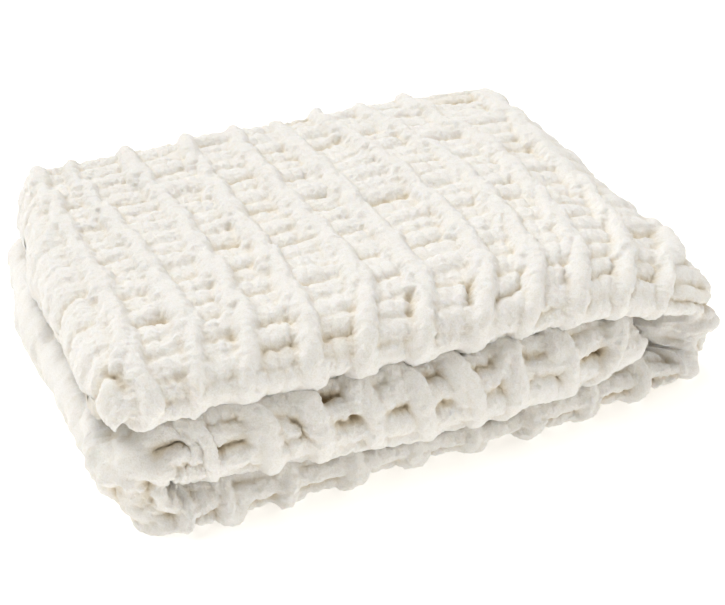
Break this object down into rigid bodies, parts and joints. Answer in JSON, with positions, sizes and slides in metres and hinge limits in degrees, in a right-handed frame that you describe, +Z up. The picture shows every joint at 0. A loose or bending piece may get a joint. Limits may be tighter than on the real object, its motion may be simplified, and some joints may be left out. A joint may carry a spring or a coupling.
{
  "type": "chunky knit blanket",
  "caption": "Thick soft throw of ribbed chenille knit, folded in thirds both ways into a low stack with round front folds.",
  "frame": {"origin": "centre of the folded blanket's underside", "axes": "+X along the longest side, towards the end where the cloth wraps over the panel folded in; -Y towards the closed front folds; +Z up, away from the surface it rests on"},
  "size_m": [0.6329, 0.4811, 0.1669],
  "materials": {
    "off_white_chenille": "matte, plush chenille pile"
  },
  "bodies": {
    "root": {"blanket": "off_white_chenille"}
  },
  "joints": []
}
